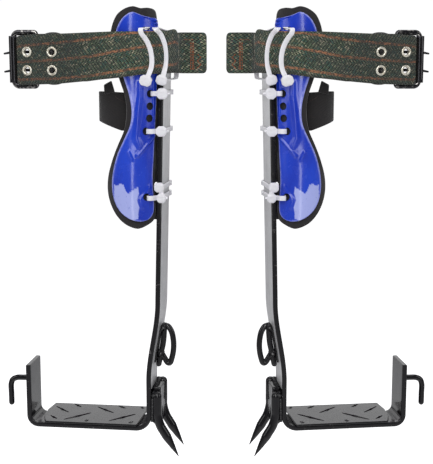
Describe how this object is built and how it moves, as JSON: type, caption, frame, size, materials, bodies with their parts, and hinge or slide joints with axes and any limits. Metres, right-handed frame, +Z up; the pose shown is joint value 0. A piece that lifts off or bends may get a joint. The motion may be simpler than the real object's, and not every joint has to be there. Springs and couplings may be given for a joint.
{
  "type": "pair of tree climbing spurs",
  "caption": "Pair of strap-on tree climbing spurs: bent steel leg irons with welded spikes, curved shin guards held by zip ties and webbing calf belts with roller buckles.",
  "frame": {"origin": "midway between the two stirrups at the height where the boot soles rest, on top of the tread plates", "axes": "+Z up along the shanks, +Y from the buckled front of the belts to the back, +X from the spur named left to the one named right"},
  "size_m": [0.4384, 0.0911, 0.4536],
  "materials": {
    "black_paint": "gloss black enamel, with one satin-bare face on the shank",
    "black_nickel": "bright black nickel plating",
    "pale_brass": "worn pale brass eyelets",
    "blue_shell": "glossy moulded sheet",
    "black_foam": "matt closed-cell foam",
    "black_elastic": "woven elastic",
    "black_keeper": "satin",
    "belt_webbing": "coarse dark herringbone with thin brown stripes",
    "white_nylon": "natural nylon"
  },
  "bodies": {
    "left_spur": {"leg_iron_left": "black_paint", "tread_plate_left": "black_paint", "front_spike_left": "black_paint", "rear_spike_left": "black_paint", "spike_gusset_left": "black_paint", "strap_ring_left": "black_paint", "boot_strap_hook_left": "black_paint", "shin_shell_left": "blue_shell", "shin_foam_left": "black_foam", "elastic_strap_left": "black_elastic", "elastic_tab_left": "black_elastic", "outer_belt_left": "belt_webbing", "inner_belt_left": "belt_webbing", "belt_tie_inner_left": "white_nylon", "belt_tie_outer_left": "white_nylon", "shin_tie_top_left": "white_nylon", "shin_tie_middle_left": "white_nylon", "shin_tie_low_left": "white_nylon", "shin_tie_chained_left": "white_nylon", "belt_grommet_1_left": "pale_brass", "belt_grommet_2_left": "pale_brass", "belt_grommet_3_left": "pale_brass", "belt_grommet_4_left": "pale_brass"},
    "left_buckle": {"buckle_frame_left": "black_nickel"},
    "left_roller": {"buckle_roller_left": "black_nickel"},
    "left_prongs": {"buckle_prongs_left": "black_nickel"},
    "left_keeper": {"belt_keeper_left": "black_keeper"},
    "right_spur": {"leg_iron_right": "black_paint", "tread_plate_right": "black_paint", "front_spike_right": "black_paint", "rear_spike_right": "black_paint", "spike_gusset_right": "black_paint", "strap_ring_right": "black_paint", "boot_strap_hook_right": "black_paint", "shin_shell_right": "blue_shell", "shin_foam_right": "black_foam", "elastic_strap_right": "black_elastic", "elastic_tab_right": "black_elastic", "outer_belt_right": "belt_webbing", "inner_belt_right": "belt_webbing", "belt_tie_inner_right": "white_nylon", "belt_tie_outer_right": "white_nylon", "shin_tie_top_right": "white_nylon", "shin_tie_middle_right": "white_nylon", "shin_tie_low_right": "white_nylon", "shin_tie_chained_right": "white_nylon", "belt_grommet_1_right": "pale_brass", "belt_grommet_2_right": "pale_brass", "belt_grommet_3_right": "pale_brass", "belt_grommet_4_right": "pale_brass"},
    "right_buckle": {"buckle_frame_right": "black_nickel"},
    "right_roller": {"buckle_roller_right": "black_nickel"},
    "right_prongs": {"buckle_prongs_right": "black_nickel"},
    "right_keeper": {"belt_keeper_right": "black_keeper"}
  },
  "joints": [
    {"name": "right_spur_apart", "type": "slide", "parent": "left_spur", "child": "right_spur", "axis": [1, 0, 0], "range_m": [0, 0.15]},
    {"name": "left_buckle_swing", "type": "hinge", "parent": "left_spur", "child": "left_buckle", "pos_m": [-0.17383, -0.02824, 0.3682], "axis": [0, 0, 1], "range_deg": [-30, 0]},
    {"name": "left_prongs_swing", "type": "hinge", "parent": "left_buckle", "child": "left_prongs", "pos_m": [-0.17383, -0.02824, 0.3682], "axis": [0, 0, 1], "range_deg": [-62, 0]},
    {"name": "left_roller_spin", "type": "hinge", "parent": "left_buckle", "child": "left_roller", "pos_m": [-0.19647, -0.02794, 0.3682], "axis": [0, 0, 1], "continuous": true},
    {"name": "left_keeper_slide", "type": "slide", "parent": "left_spur", "child": "left_keeper", "axis": [0.9899, 0.1416, 0], "range_m": [0, 0.018]},
    {"name": "right_buckle_swing", "type": "hinge", "parent": "right_spur", "child": "right_buckle", "pos_m": [0.17383, -0.02824, 0.3682], "axis": [0, 0, 1], "range_deg": [0, 30]},
    {"name": "right_prongs_swing", "type": "hinge", "parent": "right_buckle", "child": "right_prongs", "pos_m": [0.17383, -0.02824, 0.3682], "axis": [0, 0, 1], "range_deg": [0, 62]},
    {"name": "right_roller_spin", "type": "hinge", "parent": "right_buckle", "child": "right_roller", "pos_m": [0.19647, -0.02794, 0.3682], "axis": [0, 0, 1], "continuous": true},
    {"name": "right_keeper_slide", "type": "slide", "parent": "right_spur", "child": "right_keeper", "axis": [-0.9899, 0.1416, 0], "range_m": [0, 0.018]}
  ]
}
